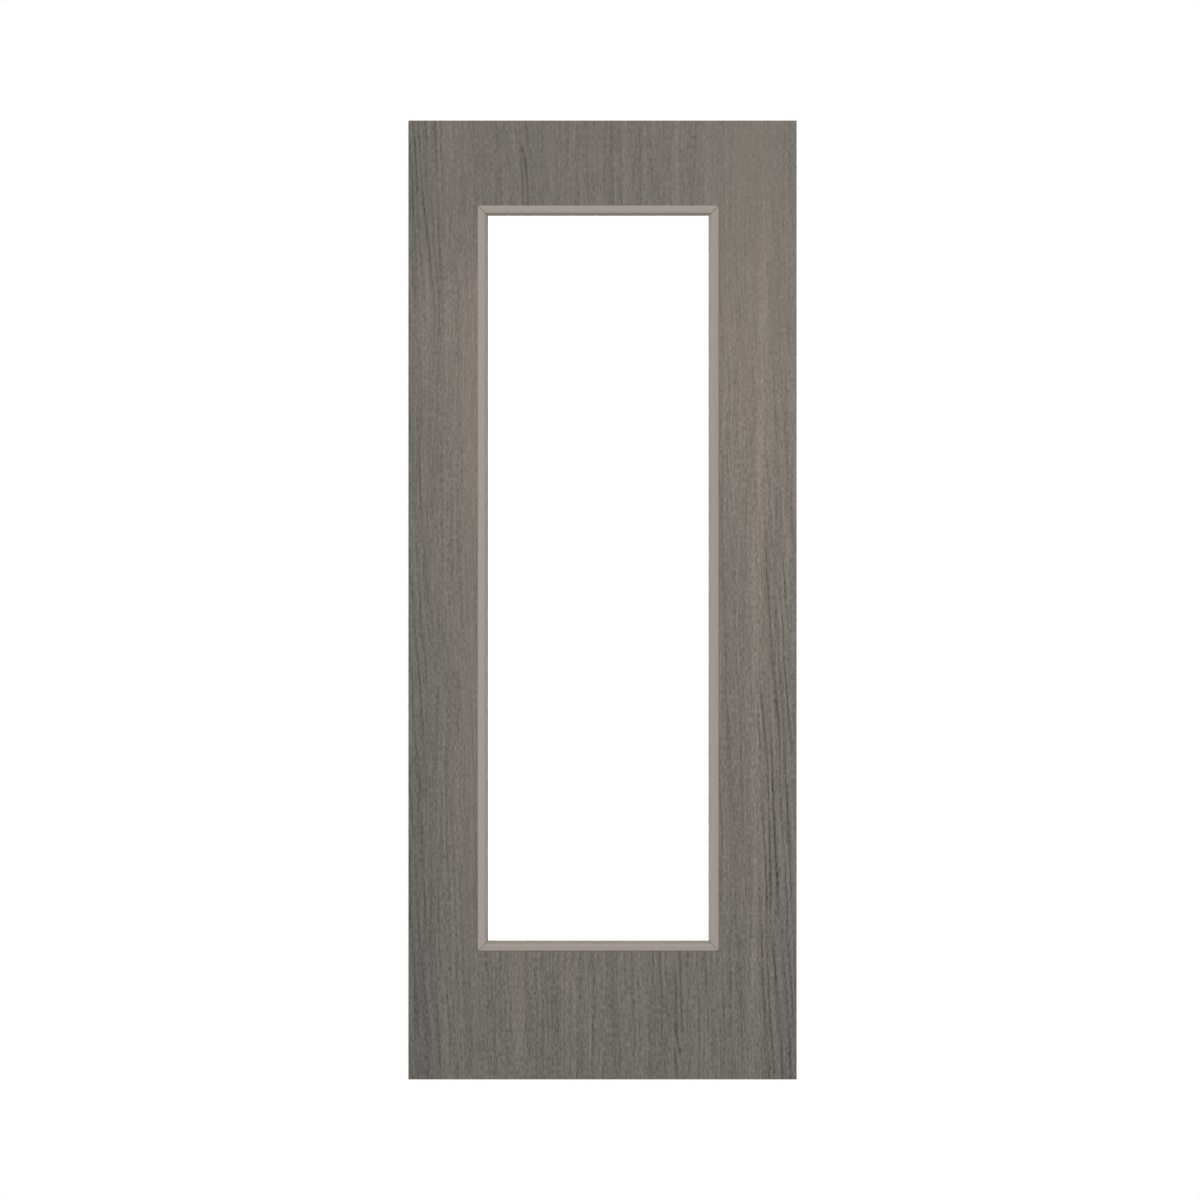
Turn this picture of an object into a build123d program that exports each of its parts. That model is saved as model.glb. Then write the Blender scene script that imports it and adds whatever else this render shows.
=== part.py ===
from build123d import *
import math
import os

# A laminate-faced flush door leaf with one tall glazed panel, in millimetres.
# The origin is at the foot of the left edge, the one that hinges go on, halfway through the leaf.
# X runs across the leaf to the lock edge, Z runs up it, and its front faces -Y.

# The leaf and its layers, from the outside in
leaf_width = 826.0
leaf_height = 2040.0
leaf_thickness = 44.0
laminate_thickness = 0.8
facing_thickness = 3.2

# The long edges: a timber lipping under a thin edge band
lipping_width = 8.0
edge_band_thickness = 1.0
edge_band_arris_radius = 0.5

# The glazed panel: from each edge of the leaf to the sight line, where the beads end and glass shows
left_margin = 170.0
right_margin = 188.0
top_margin = 203.0
bottom_margin = 296.0

# The glazing beads, whose lip lies on the laminate and whose body fills the cut-out
bead_face_width = 22.5
bead_lip_overlap = 7.0
bead_projection = 2.5
bead_lip_radius = 1.2
bead_chamfer = 7.0
bead_arris_radius = 0.8
bead_fit_clearance = 0.3
mitre_gap = 0.2

# The glass, the strips that bed it and the blocks that it stands on
glass_thickness = 6.0
glass_edge_clearance = 3.0
strip_thickness = 2.0
strip_width = 10.0
strip_setback = 1.0
setting_block_length = 60.0
setting_block_width = 8.0
setting_block_inset = 120.0

# Depths from the leaf's mid-plane
face_depth = leaf_thickness / 2
facing_depth = face_depth - laminate_thickness
core_depth = facing_depth - facing_thickness
glass_depth = glass_thickness / 2
bead_seat_depth = glass_depth + strip_thickness
bead_face_depth = face_depth + bead_projection

# Places across the leaf and up it
leaf_x = (0.0, leaf_width)
leaf_z = (0.0, leaf_height)
lipping_x = (edge_band_thickness, leaf_width - edge_band_thickness)
core_x = (lipping_x[0] + lipping_width, lipping_x[1] - lipping_width)
sight_x = (left_margin, leaf_width - right_margin)
sight_z = (bottom_margin, leaf_height - top_margin)
sight_width = sight_x[1] - sight_x[0]
sight_height = sight_z[1] - sight_z[0]
sight_centre = ((sight_x[0] + sight_x[1]) / 2, (sight_z[0] + sight_z[1]) / 2)


def widened(limits, by):
    """A pair of limits moved apart by the same amount at both ends."""
    return limits[0] - by, limits[1] + by


def both_ways(depth):
    """Limits that lie equally far on both sides of the mid-plane."""
    return -depth, depth


# The sawn cut-out lies under the beads' lips, and the glass stands clear of it all round
bead_body_width = bead_face_width - bead_lip_overlap
cut_x = widened(sight_x, bead_body_width)
cut_z = widened(sight_z, bead_body_width)
glass_x = widened(cut_x, -glass_edge_clearance)
glass_z = widened(cut_z, -glass_edge_clearance)

# The two sides of the leaf by the way they face along Y, and the four edges of the glazed panel:
# the way out from the glass, the middle of the sight line and the sight line's length
sides = {"front": -1, "back": 1}
panel_edges = {
    "top": (Vector(0, 0, 1), Vector(sight_centre[0], 0, sight_z[1]), sight_width),
    "bottom": (Vector(0, 0, -1), Vector(sight_centre[0], 0, sight_z[0]), sight_width),
    "left": (Vector(-1, 0, 0), Vector(sight_x[0], 0, sight_centre[1]), sight_height),
    "right": (Vector(1, 0, 0), Vector(sight_x[1], 0, sight_centre[1]), sight_height),
}
upright_edges = ("left", "right")


def slab(x, y, z):
    """A rectangular piece between its X, Y and Z limits."""
    low = [min(limits) for limits in (x, y, z)]
    size = [max(limits) - min(limits) for limits in (x, y, z)]
    return Pos(*low) * Box(*size, align=Align.MIN)


def pierced_sheet(x, y):
    """A sheet as tall as the leaf, with the cut-out for the glazed panel sawn through it."""
    return slab(x, y, leaf_z) - slab(cut_x, y, cut_z)


def core_pieces():
    """Two stiles as tall as the leaf, and the rails that fit between them over and under the cut-out."""
    y = both_ways(core_depth)
    return {
        "left_core_stile": slab((core_x[0], cut_x[0]), y, leaf_z),
        "right_core_stile": slab((cut_x[1], core_x[1]), y, leaf_z),
        "top_core_rail": slab(cut_x, y, (cut_z[1], leaf_z[1])),
        "bottom_core_rail": slab(cut_x, y, (leaf_z[0], cut_z[0])),
    }


def skin_pieces():
    """On each side, a facing board over the core and a laminate sheet that also covers the lippings."""
    pieces = {}
    for side, facing in sides.items():
        board_y = (facing * core_depth, facing * facing_depth)
        laminate_y = (facing * facing_depth, facing * face_depth)
        pieces[f"{side}_facing_board"] = pierced_sheet(core_x, board_y)
        pieces[f"{side}_laminate"] = pierced_sheet(lipping_x, laminate_y)
    return pieces


def edge_pieces():
    """The timber lippings of the long edges, and the bands with eased arrises that cover them."""
    y = both_ways(face_depth)
    bands = {
        "left": (slab((leaf_x[0], lipping_x[0]), y, leaf_z), 0),
        "right": (slab((lipping_x[1], leaf_x[1]), y, leaf_z), -1),
    }
    pieces = {
        "left_lipping": slab((lipping_x[0], core_x[0]), both_ways(facing_depth), leaf_z),
        "right_lipping": slab((core_x[1], lipping_x[1]), both_ways(facing_depth), leaf_z),
    }
    for edge, (band, outer) in bands.items():
        arrises = band.edges().filter_by(Axis.Z).group_by(Axis.X)[outer]
        pieces[f"{edge}_edge_band"] = fillet(arrises, edge_band_arris_radius)
    return pieces


def bead_profile():
    """The bead's section: X runs out from the sight line, and Y from the mid-plane out of the leaf.
    The chamfer leads down to the glass, and the rebate under the lip fits the edge of the cut-out."""
    body = bead_body_width - bead_fit_clearance
    corners = {
        "bed on the strip": ((0, bead_seat_depth), 0),
        "foot of the chamfer": ((0, bead_face_depth - bead_chamfer), bead_arris_radius),
        "head of the chamfer": ((bead_chamfer, bead_face_depth), bead_arris_radius),
        "shoulder of the lip": ((bead_face_width, bead_face_depth), bead_lip_radius),
        "edge of the lip": ((bead_face_width, face_depth), 0),
        "rebate": ((body, face_depth), 0),
        "heel": ((body, bead_seat_depth), 0),
    }
    points = [point for point, radius in corners.values()]
    radii = [radius for point, radius in corners.values()]
    return make_face(FilletPolyline(*points, radius=radii, close=True))


def mitred_bead(sight_length):
    """One bead along Z, centred on the origin, with both ends mitred to meet its neighbours."""
    bead = extrude(bead_profile(), amount=sight_length / 2 + bead_face_width, both=True)
    mitre_start = sight_length / 2 - mitre_gap / math.sqrt(2)
    for end in (1, -1):
        mitre = Plane(origin=(0, 0, end * mitre_start), z_dir=(1, 0, -end))
        bead = split(bead, bisect_by=mitre, keep=Keep.TOP)
    return bead


def glazing_strip(edge, sight_length):
    """One bedding strip in the bead's own frame; upright strips run through at the corners."""
    outer = strip_setback + strip_width
    corner_reach = outer if edge in upright_edges else strip_setback
    return slab(
        (strip_setback, outer),
        (glass_depth, bead_seat_depth),
        both_ways(sight_length / 2 + corner_reach),
    )


def glazing_pieces():
    """The glass on its setting blocks, with strips and mitred beads round it on both sides."""
    pieces = {"glass_pane": slab(glass_x, both_ways(glass_depth), glass_z)}
    block_centres = {
        "left": glass_x[0] + setting_block_inset,
        "right": glass_x[1] - setting_block_inset,
    }
    for edge, centre in block_centres.items():
        pieces[f"{edge}_setting_block"] = slab(
            widened((centre, centre), setting_block_length / 2),
            both_ways(setting_block_width / 2),
            (cut_z[0], glass_z[0]),
        )
    for side, facing in sides.items():
        for edge, (outward, middle, sight_length) in panel_edges.items():
            along = outward.cross(Vector(0, facing, 0))
            place = Plane(origin=middle, x_dir=outward, z_dir=along)
            pieces[f"{side}_{edge}_bead"] = place * mitred_bead(sight_length)
            pieces[f"{side}_{edge}_glazing_strip"] = place * glazing_strip(edge, sight_length)
    return pieces


door_pieces = {**core_pieces(), **skin_pieces(), **edge_pieces(), **glazing_pieces()}

os.makedirs("parts", exist_ok=True)
for name, piece in door_pieces.items():
    piece.label = name
    export_step(piece, f"parts/{name}.step")
print(f"{len(door_pieces)} pieces; glass {glass_x[1] - glass_x[0]:g} x {glass_z[1] - glass_z[0]:g} mm,"
      f" cut-out {cut_x[1] - cut_x[0]:g} x {cut_z[1] - cut_z[0]:g} mm")
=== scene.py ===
# %% [markdown]
# # A glazed door leaf
# The object is a flush door leaf: a timber core faced on both sides with a printed laminate, with one
# tall sheet of clear glass held between mitred beads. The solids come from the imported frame, at their
# real size. This lesson gives every surface its finish, and replaces the few solids whose edges need
# finer meshes than the frame has. All lengths are in metres, and MM turns millimetres into metres.

# %% Load the frame
import math

import bmesh
import bpy
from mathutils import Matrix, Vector


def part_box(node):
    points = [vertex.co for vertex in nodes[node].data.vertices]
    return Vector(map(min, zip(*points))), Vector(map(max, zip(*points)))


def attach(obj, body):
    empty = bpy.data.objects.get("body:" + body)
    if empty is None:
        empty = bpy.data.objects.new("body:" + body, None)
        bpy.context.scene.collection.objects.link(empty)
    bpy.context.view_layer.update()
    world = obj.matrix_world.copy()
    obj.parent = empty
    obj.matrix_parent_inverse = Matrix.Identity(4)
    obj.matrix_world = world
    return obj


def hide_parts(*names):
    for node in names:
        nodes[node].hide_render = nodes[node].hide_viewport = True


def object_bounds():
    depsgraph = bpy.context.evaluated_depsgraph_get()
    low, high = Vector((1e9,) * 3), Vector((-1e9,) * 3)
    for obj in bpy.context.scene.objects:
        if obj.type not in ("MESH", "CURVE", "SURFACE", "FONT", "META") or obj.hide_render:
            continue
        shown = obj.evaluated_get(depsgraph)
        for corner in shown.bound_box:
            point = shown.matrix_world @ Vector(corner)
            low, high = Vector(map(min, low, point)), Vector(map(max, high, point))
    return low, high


MM = 0.001
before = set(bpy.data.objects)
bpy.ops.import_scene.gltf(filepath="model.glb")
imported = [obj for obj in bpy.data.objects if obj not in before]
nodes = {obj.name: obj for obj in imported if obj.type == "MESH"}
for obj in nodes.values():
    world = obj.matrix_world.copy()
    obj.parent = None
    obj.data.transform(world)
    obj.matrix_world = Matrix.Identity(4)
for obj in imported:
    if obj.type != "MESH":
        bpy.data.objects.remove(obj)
cad_low, cad_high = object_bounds()
leaf_size = cad_high - cad_low
print(f"{len(nodes)} solids, {leaf_size.x:.3f} m wide, {leaf_size.y:.3f} m deep, {leaf_size.z:.3f} m tall")

# %% [markdown]
# ## The camera
# The photograph is a square-on elevation with no perspective at all: the far beads hide exactly behind
# the near ones. A long lens would only come close to that, so the camera is orthographic. Its scale is
# the number of metres that one pixel of the photograph covers, and it stands where the middle of the
# leaf falls on the photograph's own pixel.

# %% Set up the camera
PHOTO_SIDE_PX = 1200
LEAF_PX = (387.75, 960.3)
LEAF_CENTRE_PX = (602.5, 600.0)
CAMERA_DISTANCE = 6.0

scene = bpy.context.scene
leaf_centre = (cad_low + cad_high) / 2
pixel = (leaf_size.x / LEAF_PX[0] + leaf_size.z / LEAF_PX[1]) / 2
camera_data = bpy.data.cameras.new("elevation_camera")
camera_data.type = "ORTHO"
camera_data.ortho_scale = PHOTO_SIDE_PX * pixel
camera = bpy.data.objects.new("elevation_camera", camera_data)
camera.location = (
    leaf_centre.x - (LEAF_CENTRE_PX[0] - PHOTO_SIDE_PX / 2) * pixel,
    cad_low.y - CAMERA_DISTANCE,
    leaf_centre.z + (LEAF_CENTRE_PX[1] - PHOTO_SIDE_PX / 2) * pixel,
)
camera.rotation_euler = (math.radians(90), 0, 0)
scene.collection.objects.link(camera)
scene.camera = camera
scene.view_settings.view_transform = "Standard"
print(f"one pixel covers {pixel / MM:.3f} mm")

# %% [markdown]
# ## Helpers for nodes and colours
# Node trees grow long when every node takes five lines, so one small function adds a node, sets its
# properties, fills its inputs and, on a colour ramp, places its colours. Colours are written as sRGB hex
# values, as a paint chart gives them, and turned into the linear numbers that Blender's shaders work with.

# %% Node and colour helpers
def linear(hex_colour):
    """An sRGB hex colour as linear red, green, blue and full alpha."""
    levels = [int(hex_colour[i:i + 2], 16) / 255 for i in (1, 3, 5)]
    return *(v / 12.92 if v <= 0.04045 else ((v + 0.055) / 1.055) ** 2.4 for v in levels), 1.0


def add(tree, kind, feeds=None, stops=None, **settings):
    """Adds a node. Feeds gives inputs a value, a socket, or a node that is read by its first output, and
    stops gives the hex colours of a colour ramp by their places."""
    node = tree.nodes.new(kind)
    for name, value in settings.items():
        setattr(node, name, value)
    for name, value in (feeds or {}).items():
        source = value.outputs[0] if isinstance(value, bpy.types.Node) else value
        if isinstance(source, bpy.types.NodeSocket):
            tree.links.new(source, node.inputs[name])
        else:
            node.inputs[name].default_value = source
    for number, (place, hex_colour) in enumerate((stops or {}).items()):
        ramp = node.color_ramp.elements
        stop = ramp[number] if number < len(ramp) else ramp.new(place)
        stop.position = place
        stop.color = linear(hex_colour)
    return node


def new_material(name):
    """An empty material, with its tree and its output node."""
    material = bpy.data.materials.new(name)
    material.use_nodes = True
    material.node_tree.nodes.clear()
    return material, material.node_tree, add(material.node_tree, "ShaderNodeOutputMaterial")


print("middle grey #808080 in linear light:", [round(v, 3) for v in linear("#808080")])

# %% [markdown]
# ## Light and background
# The photograph has a plain white ground and very even light: the beads keep one tone from end to end.
# The white ground is the world as the camera, mirrors and glass see it, and it sheds little light of its
# own. Only the splayed inner faces of the beads tell where the light is. The one under the head is dark,
# the one over the foot a little darker than the front, and the left one darker than the right one. So the
# key light comes from the front, above and a little to the left, with a weak fill from straight in front
# and one from either side. Two more stand behind, one to each side, because the leaf is looked at from both
# faces and along its edges. Area lamps near the leaf would leave its ends darker than its middle, so these
# are suns with a wide disc, which is what soft boxes far away come to. Their shares are the parts of full
# light that they give to a face turned to them.

# %% Build the world
AMBIENT = 0.03
WHITE_GROUND = 1.0
BEFORE_FIRST_BOUNCE = 0.5


def seen_directly(tree):
    """1 for what the camera sees, straight on or in mirrors and glass, and 0 for light that surfaces shed."""
    rays = add(tree, "ShaderNodeLightPath")
    seen = rays.outputs["Is Camera Ray"]
    for kind in ("Is Glossy Ray", "Is Transmission Ray"):
        seen = add(tree, "ShaderNodeMath", {0: seen, 1: rays.outputs[kind]}, operation="MAXIMUM")
    unshed = add(tree, "ShaderNodeMath", {0: rays.outputs["Diffuse Depth"], 1: BEFORE_FIRST_BOUNCE},
                 operation="LESS_THAN")
    return add(tree, "ShaderNodeMath", {0: seen, 1: unshed}, operation="MULTIPLY")


world = bpy.data.worlds.new("white_studio")
world.use_nodes = True
world.node_tree.nodes.clear()
strength = add(world.node_tree, "ShaderNodeMapRange", {"Value": seen_directly(world.node_tree),
                                                       "To Min": AMBIENT, "To Max": WHITE_GROUND})
ground = add(world.node_tree, "ShaderNodeBackground", {"Color": linear("#FFFFFF"), "Strength": strength})
add(world.node_tree, "ShaderNodeOutputWorld", {"Surface": ground})
scene.world = world
print("the white ground sheds", AMBIENT, "of its light on the leaf")

# %% Set up the lamps
LAMPS = {
    # name: (degrees round from the front, degrees up, degrees across, share of full light)
    "key": (-8, 10.5, 12, 0.632),
    "fill": (0, 7.5, 18, 0.13),
    "left": (-72, 6, 12, 0.16),
    "right": (72, 6, 12, 0.14),
    "back_left": (-140, 12, 12, 0.45),
    "back_right": (140, 12, 12, 0.45),
}

for name, (round_by, up_by, across, share) in LAMPS.items():
    turn = math.radians(round_by)
    lift = math.radians(up_by)
    way = Vector((math.sin(turn) * math.cos(lift), -math.cos(turn) * math.cos(lift), math.sin(lift)))
    lamp_data = bpy.data.lights.new(f"{name}_light", "SUN")
    lamp_data.angle = math.radians(across)
    lamp_data.energy = share * math.pi
    lamp = bpy.data.objects.new(f"{name}_light", lamp_data)
    lamp.rotation_euler = way.to_track_quat("Z", "Y").to_euler()
    scene.collection.objects.link(lamp)
print(len(LAMPS), "lamps")

# %% [markdown]
# ## The floor
# The leaf stands on a plain pale floor. The camera looks along it, so the floor is a line too thin to see
# and the ground under the leaf stays white, as in the photograph. From above it takes the shadows. The lamps
# stand low and would leave it grey, so the camera also sees it glow a little. It sheds next to no light on
# the leaf, because in the photograph nothing lights it from below.

# %% Lay the floor
FLOOR_SIDE = 60.0
FLOOR_DROP = 0.2 * MM
FLOOR_GLOW = 0.45
FLOOR_MOTTLE = 0.5
FLOOR_TONES = {0.0: "#DCDAD7", 1.0: "#E2E0DD"}
FLOOR_TONE_SHED = "#303030"
FLOOR_ROUGHNESS = 0.8

floor_material, tree, output = new_material("pale_studio_floor")
place = add(tree, "ShaderNodeTexCoord")
mottle = add(tree, "ShaderNodeTexNoise", {"Vector": place.outputs["Object"], "Scale": 1 / FLOOR_MOTTLE,
                                          "Detail": 3.0})
tint = add(tree, "ShaderNodeValToRGB", {"Fac": mottle}, stops=FLOOR_TONES)
rays = add(tree, "ShaderNodeLightPath")
shed = add(tree, "ShaderNodeMix", {0: rays.outputs["Is Diffuse Ray"], 6: tint, 7: linear(FLOOR_TONE_SHED)},
           data_type="RGBA")
glow = add(tree, "ShaderNodeMath", {0: seen_directly(tree), 1: FLOOR_GLOW}, operation="MULTIPLY")
floor_shader = add(tree, "ShaderNodeBsdfPrincipled", {"Base Color": shed.outputs[2],
                                                      "Roughness": FLOOR_ROUGHNESS, "Emission Color": tint,
                                                      "Emission Strength": glow})
tree.links.new(floor_shader.outputs[0], output.inputs["Surface"])

half = FLOOR_SIDE / 2
floor_mesh = bpy.data.meshes.new("studio_floor")
floor_corners = [(-half, -half, 0), (half, -half, 0), (half, half, 0), (-half, half, 0)]
floor_mesh.from_pydata(floor_corners, [], [(0, 1, 2, 3)])
floor_mesh.materials.append(floor_material)
floor = bpy.data.objects.new("studio_floor", floor_mesh)
floor.location = (leaf_centre.x, 0, cad_low.z - FLOOR_DROP)
scene.collection.objects.link(floor)
print("floor", FLOOR_SIDE, "m square")

# %% [markdown]
# ## The laminate's printed oak
# The leaf is faced with melamine laminate: paper printed with a grey oak decor under a clear embossed
# coat, so it is matt, with the pores pressed in where they are printed. The grain runs upright through
# stiles and rails alike, because each face is one sheet. A picture of a board would be the usual way to
# make such a print. Here it is drawn with noise, which needs no picture and stays sharp at any size. It is
# drawn in the decor's own millimetres, X across the grain and Z along it, so that the back sheet and the
# edge bands can be cut from another place of the same print. Two helpers draw everything: a noise stretched
# along the grain, and a soft patch for what is set one by one.

# %% Noises and patches
NOISE_MIDDLE = 0.5


def noise(tree, place, width, length, seed, octaves=1.0):
    """A noise stretched along the grain: width and length are its mesh in mm."""
    spot = add(tree, "ShaderNodeVectorMath", {0: place, 1: (1 / width, 0, 1 / length), 2: (0, seed, 0)},
               operation="MULTIPLY_ADD")
    return add(tree, "ShaderNodeTexNoise", {"Vector": spot, "Scale": 1.0, "Detail": octaves})


def window(tree, place, x, z, half_width, half_length, lean=0.0, flat=0.0):
    """A soft patch of the print: 1 over the flat share of its half width, 0 outside its half width and
    half length."""
    offset = add(tree, "ShaderNodeVectorMath", {0: place, 1: (x, 0, z)}, operation="SUBTRACT")
    axes = add(tree, "ShaderNodeSeparateXYZ", {0: offset})
    aside = add(tree, "ShaderNodeMath", {0: axes.outputs["Z"], 1: -lean, 2: axes.outputs["X"]},
                operation="MULTIPLY_ADD")
    fades = []
    limits = ((aside, flat * half_width, half_width), (axes.outputs["Z"], half_length / 2, half_length))
    for distance, start, end in limits:
        away = add(tree, "ShaderNodeMath", {0: distance}, operation="ABSOLUTE")
        fades.append(add(tree, "ShaderNodeMapRange", {"Value": away, "From Min": start, "From Max": end,
                                                      "To Min": 1.0, "To Max": 0.0},
                         interpolation_type="SMOOTHSTEP"))
    return add(tree, "ShaderNodeMath", {0: fades[0], 1: fades[1]}, operation="MULTIPLY")


print(f"the decor covers {leaf_size.x / MM:.0f} by {leaf_size.z / MM:.0f} mm")

# %% [markdown]
# ### The bent grain
# No fibre of a tree is straight. Slow noises push the place at which the print is read to one side, so that
# all lines bend together. The marks that are set one by one only follow the small sway, and the fine grain
# also follows a wide sweep and a steady lean.

# %% Bend the grain
SWAY = {
    # name: (width and length in mm, reach in mm)
    "ripple": (60.0, 200.0, 12.0),
    "shiver": (14.0, 40.0, 3.0),
}
SWEEP = {"sweep": (260.0, 650.0, 36.0)}
GRAIN_LEAN = 0.015
FIRST_STRAY_SEED = 40


def strayed(tree, place, wanders, lean):
    """The place moved sideways by noises, given as (width, length, reach), and by a steady lean."""
    axes = add(tree, "ShaderNodeSeparateXYZ", {0: place})
    aside = add(tree, "ShaderNodeMath", {0: axes.outputs["Z"], 1: lean}, operation="MULTIPLY")
    for seed, (width, length, reach) in enumerate(wanders.values(), start=FIRST_STRAY_SEED):
        stray = noise(tree, place, width, length, seed)
        centred = add(tree, "ShaderNodeMath", {0: stray, 1: NOISE_MIDDLE}, operation="SUBTRACT")
        aside = add(tree, "ShaderNodeMath", {0: centred, 1: reach, 2: aside}, operation="MULTIPLY_ADD")
    step = add(tree, "ShaderNodeCombineXYZ", {"X": aside})
    return add(tree, "ShaderNodeVectorMath", {0: place, 1: step}, operation="ADD")


print("the grain sways up to", sum(reach for _, _, reach in SWAY.values()) / 2, "mm to either side")

# %% [markdown]
# ### Broad tones
# From a few steps away the print is a matter of broad, soft boards: upright bands, darker towards the foot
# and the hinge edge, with a pale band by the lock edge. They are counted in steps of tone, about one level
# of a picture's 255 each. Noise makes the bands, and the larger changes are set one by one, because no noise
# would put them where this sheet has them. The print is also livelier at the foot than at the head, and calm
# round the heart lines.

# %% Write the broad tones
LIVELY_AT_FOOT = 1.2
LIVELY_AT_HEAD = 0.8
CALM_PATCHES = {
    # name: (across and up to its middle, half width, half length in mm, share of the liveliness lost)
    "lock edge at the head": (730, 1880, 170, 520, 0.35),
    "beside the left bead": (134, 850, 30, 1100, 0.4),
    "heart lines at the head": (248, 1930, 18, 200, 0.4),
    "heart lines at the foot": (575, 120, 18, 260, 0.5),
}
BANDS = {"width": 36.0, "length": 1400.0, "octaves": 2.0, "seed": 10, "steps": 30.0}
DRIFT = {
    # name: (axis, from and to in mm, tone steps at either end)
    "darker towards the foot": ("Z", 0.0, 1500.0, -15.0, 6.0),
    "lighter towards the lock edge": ("X", 0.0, 826.0, -2.0, 3.0),
}
SHADES = {
    # name: (across and up to its middle, half width, half length in mm, lean to the right, tone steps)
    "hinge edge": (0, 850, 105, 1700, 0.0, -10),
    "beside the left bead": (135, 1100, 50, 800, 0.0, 4),
    "head": (330, 2100, 560, 480, 0.0, -13),
    "dark board by the heart line at the head": (275, 1950, 26, 220, 0.0, -9),
    "dark board over the right bead": (616, 1980, 20, 160, 0.0, -5),
    "warm patch by the lock edge": (720, 1560, 170, 480, 0.0, 2),
    "pale band by the lock edge": (738, 560, 20, 1500, 0.012, 9),
    "pale band, lower part": (736, 420, 18, 560, 0.012, 5),
    "dark band by the lock edge": (768, 130, 22, 640, 0.012, -7),
    "lock edge at the foot": (792, 0, 50, 300, 0.0, -5),
    "lock edge at the head": (826, 2040, 80, 280, 0.0, -5),
    "hinge edge at the head": (0, 2040, 60, 280, 0.0, -4),
    "lock edge": (826, 400, 24, 900, 0.0, -5),
    "beside the right bead": (690, 330, 44, 700, 0.0, -6),
    "light board at the foot": (236, 130, 24, 260, 0.0, 4),
    "dark board at the foot": (284, 130, 40, 260, 0.0, -5),
    "middle board at the foot": (440, 60, 75, 300, 0.0, -5),
    "dark board by the heart line at the foot": (534, 70, 34, 260, 0.0, -5),
}


def liveliness(tree, decor, near):
    """How strong the bands and fine lines are: stronger at the foot than at the head, weaker in patches."""
    axes = add(tree, "ShaderNodeSeparateXYZ", {0: decor})
    lively = add(tree, "ShaderNodeMapRange", {"Value": axes.outputs["Z"], "From Max": leaf_size.z / MM,
                                              "To Min": LIVELY_AT_FOOT, "To Max": LIVELY_AT_HEAD})
    for x, z, half_width, half_length, lost in CALM_PATCHES.values():
        calm = window(tree, near, x, z, half_width, half_length)
        lively = add(tree, "ShaderNodeMath", {0: calm, 1: -lost, 2: lively}, operation="MULTIPLY_ADD")
    return lively


def broad_tone(tree, decor, near, grain, lively):
    """The slow changes of the print in steps: bands, drifts and shades."""
    bands = noise(tree, grain, BANDS["width"], BANDS["length"], BANDS["seed"], BANDS["octaves"])
    centred = add(tree, "ShaderNodeMath", {0: bands, 1: NOISE_MIDDLE}, operation="SUBTRACT")
    reach = add(tree, "ShaderNodeMath", {0: lively, 1: BANDS["steps"]}, operation="MULTIPLY")
    tone = add(tree, "ShaderNodeMath", {0: centred, 1: reach}, operation="MULTIPLY")
    axes = add(tree, "ShaderNodeSeparateXYZ", {0: decor})
    for axis, low, high, at_low, at_high in DRIFT.values():
        drift = add(tree, "ShaderNodeMapRange", {"Value": axes.outputs[axis], "From Min": low,
                                                 "From Max": high, "To Min": at_low, "To Max": at_high})
        tone = add(tree, "ShaderNodeMath", {0: tone, 1: drift}, operation="ADD")
    for x, z, half_width, half_length, lean, steps in SHADES.values():
        share = window(tree, near, x, z, half_width, half_length, lean)
        tone = add(tree, "ShaderNodeMath", {0: share, 1: steps, 2: tone}, operation="MULTIPLY_ADD")
    return tone


print(len(SHADES), "shades in the print")

# %% [markdown]
# ### Ring lines
# Near both long edges the saw has run along the growth rings, which show there as thin dark lines with
# paler wood between. A Wave texture could draw them, but its dark and pale parts are equally wide. So the
# place across the grain is folded to and fro, which gives evenly spaced rings with thin lines at the folds.
# One noise lets them drift, and another breaks them off here and there.

# %% Write the ring lines
RING_SPACING = 14.0
RING_LEAN = 0.055
RING_DRIFT = {"width": 40.0, "length": 520.0, "seed": 20, "turns": 2.4}
RING_BREAKS = {"width": 11.0, "length": 200.0, "seed": 21, "weak below": 0.35, "full above": 0.6,
               "weakest": 0.2}
RING_DARK_SHARE = 0.3
RING_PALE_STRENGTH = 0.3
HALF_TURN = 0.5


def ring_lines(tree, near):
    """Growth rings cut lengthwise: thin dark lines, -1 at their darkest, with paler wood halfway between."""
    leaning = strayed(tree, near, {}, RING_LEAN)
    axes = add(tree, "ShaderNodeSeparateXYZ", {0: leaning})
    drift = noise(tree, leaning, RING_DRIFT["width"], RING_DRIFT["length"], RING_DRIFT["seed"])
    shift = add(tree, "ShaderNodeMath", {0: drift, 1: RING_DRIFT["turns"]}, operation="MULTIPLY")
    turns = add(tree, "ShaderNodeMath", {0: axes.outputs["X"], 1: 1 / RING_SPACING, 2: shift},
                operation="MULTIPLY_ADD")
    fold = add(tree, "ShaderNodeMath", {0: turns, 1: HALF_TURN}, operation="PINGPONG")
    breaks = noise(tree, leaning, RING_BREAKS["width"], RING_BREAKS["length"], RING_BREAKS["seed"])
    strength = add(tree, "ShaderNodeMapRange", {"Value": breaks, "From Min": RING_BREAKS["weak below"],
                                                "From Max": RING_BREAKS["full above"],
                                                "To Min": RING_BREAKS["weakest"], "To Max": 1.0})
    dark = add(tree, "ShaderNodeMapRange", {"Value": fold, "From Max": RING_DARK_SHARE, "To Min": -1.0,
                                            "To Max": 0.0}, interpolation_type="SMOOTHSTEP")
    pale = add(tree, "ShaderNodeMapRange", {"Value": fold, "From Min": RING_DARK_SHARE, "From Max": HALF_TURN,
                                            "To Max": RING_PALE_STRENGTH})
    both = add(tree, "ShaderNodeMath", {0: dark, 1: pale}, operation="ADD")
    return add(tree, "ShaderNodeMath", {0: both, 1: strength}, operation="MULTIPLY")


print("a ring line every", RING_SPACING, "mm")

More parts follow.
